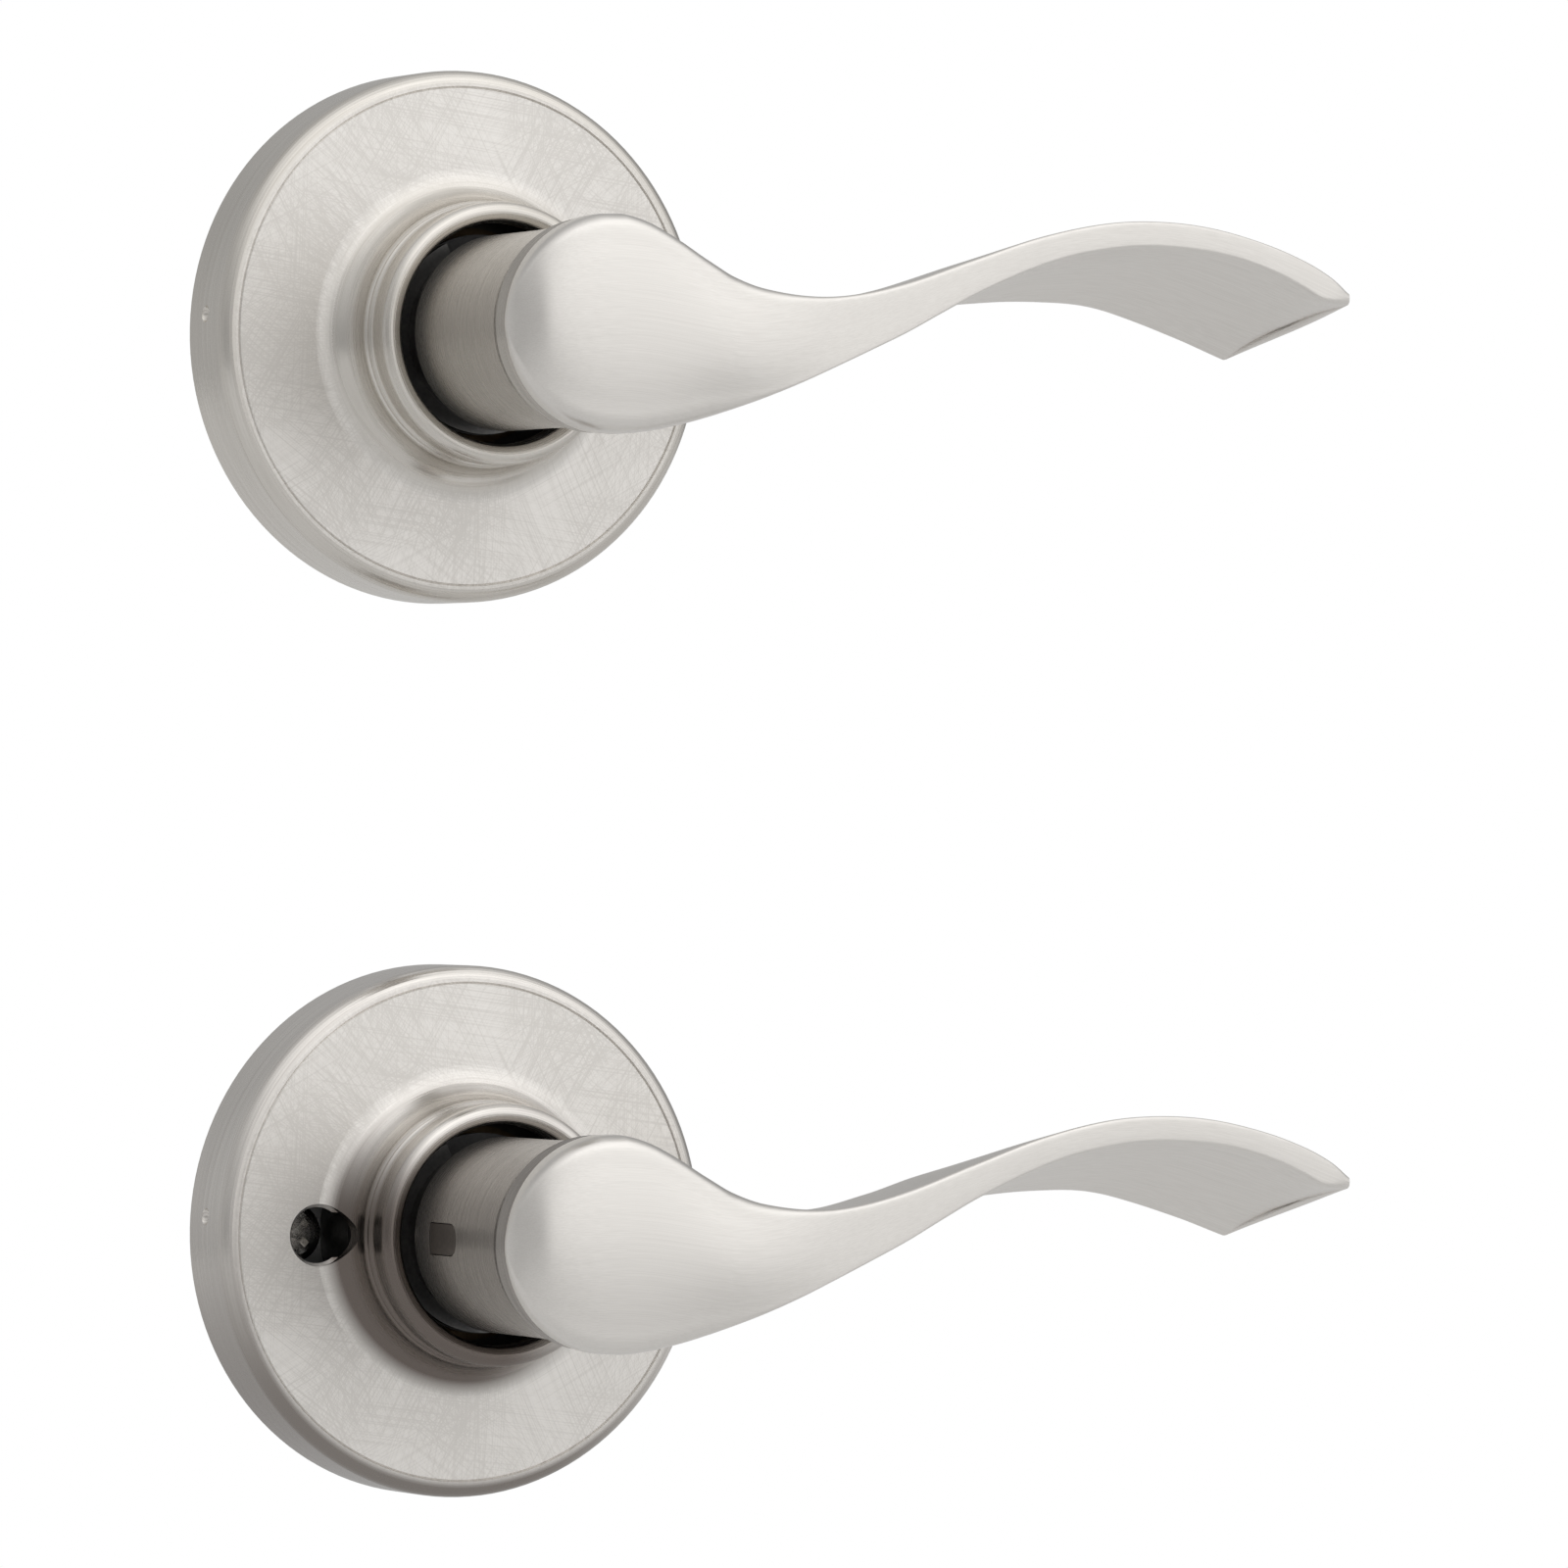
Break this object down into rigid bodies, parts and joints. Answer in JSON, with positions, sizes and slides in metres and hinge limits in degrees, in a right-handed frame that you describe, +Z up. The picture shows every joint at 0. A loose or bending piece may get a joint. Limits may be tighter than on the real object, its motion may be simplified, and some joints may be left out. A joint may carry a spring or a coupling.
{
  "type": "door lever handle",
  "caption": "Passage lever handles for both faces of a door, with round roses, sprung wave-shaped levers, mounting posts, screws and spindle.",
  "frame": {"origin": "centre of the inside handle's rose at the door face's plane, on its lever's axis", "axes": "+X along the levers, +Y into the door along both levers' axes, +Z up, with the outside handle 112 mm above the inside one"},
  "size_m": [0.1403, 0.0999, 0.1786],
  "materials": {
    "rose_nickel": "satin nickel plate, face brushed in crossed directions, rim and bell brushed round",
    "neck_nickel": "satin nickel plate, brushed round",
    "lever_nickel": "satin nickel plate, finely brushed along the lever",
    "zinc_steel": "bright zinc plated pressed steel",
    "tube_steel": "plain drawn and broached steel, lightly oiled",
    "catch_steel": "dark hardened steel",
    "spring_steel": "oil tempered spring wire",
    "bush_bronze": "sintered bronze",
    "nylon": "natural nylon"
  },
  "bodies": {
    "fixed_parts": {"outside_rose": "rose_nickel", "outside_mounting_plate": "zinc_steel", "outside_spring_cage": "zinc_steel", "outside_cage_rivets": "zinc_steel", "outside_return_spring": "spring_steel", "outside_hub_bush": "bush_bronze", "outside_mounting_posts": "zinc_steel", "inside_rose": "rose_nickel", "inside_mounting_plate": "zinc_steel", "inside_spring_cage": "zinc_steel", "inside_cage_rivets": "zinc_steel", "inside_return_spring": "spring_steel", "inside_hub_bush": "bush_bronze", "inside_mounting_screws": "zinc_steel"},
    "outside_lever": {"outside_thrust_washer": "nylon", "outside_retaining_ring": "spring_steel", "outside_cam_plate": "zinc_steel", "outside_drive_tube": "tube_steel", "outside_catch_spring": "spring_steel", "outside_lever_neck": "neck_nickel", "outside_lever_grip": "lever_nickel", "outside_spindle": "tube_steel"},
    "inside_lever": {"inside_thrust_washer": "nylon", "inside_retaining_ring": "spring_steel", "inside_cam_plate": "zinc_steel", "inside_drive_tube": "tube_steel", "inside_catch_spring": "spring_steel", "inside_lever_neck": "neck_nickel", "inside_lever_grip": "lever_nickel"},
    "outside_catch": {"outside_lever_catch": "catch_steel"},
    "inside_catch": {"inside_lever_catch": "catch_steel"}
  },
  "joints": [
    {"name": "outside_lever_turn", "type": "hinge", "parent": "fixed_parts", "child": "outside_lever", "pos_m": [0, -0.012, 0.112], "axis": [0, -1, 0], "range_deg": [-45, 0], "stiffness_Nm_per_rad": 1.5, "springref_deg": 6.88, "deforming": ["outside_return_spring"]},
    {"name": "outside_catch_press", "type": "slide", "parent": "outside_lever", "child": "outside_catch", "axis": [-1, 0, 0], "range_m": [0, 0.0017], "stiffness_N_per_m": 150, "springref_m": -0.002, "deforming": ["outside_catch_spring"]},
    {"name": "inside_lever_turn", "type": "hinge", "parent": "fixed_parts", "child": "inside_lever", "pos_m": [0, -0.012, 0], "axis": [0, -1, 0], "range_deg": [-45, 0], "stiffness_Nm_per_rad": 1.5, "springref_deg": 6.88, "deforming": ["inside_return_spring"]},
    {"name": "inside_catch_press", "type": "slide", "parent": "inside_lever", "child": "inside_catch", "axis": [1, 0, 0], "range_m": [0, 0.0017], "stiffness_N_per_m": 150, "springref_m": -0.002, "deforming": ["inside_catch_spring"]}
  ]
}
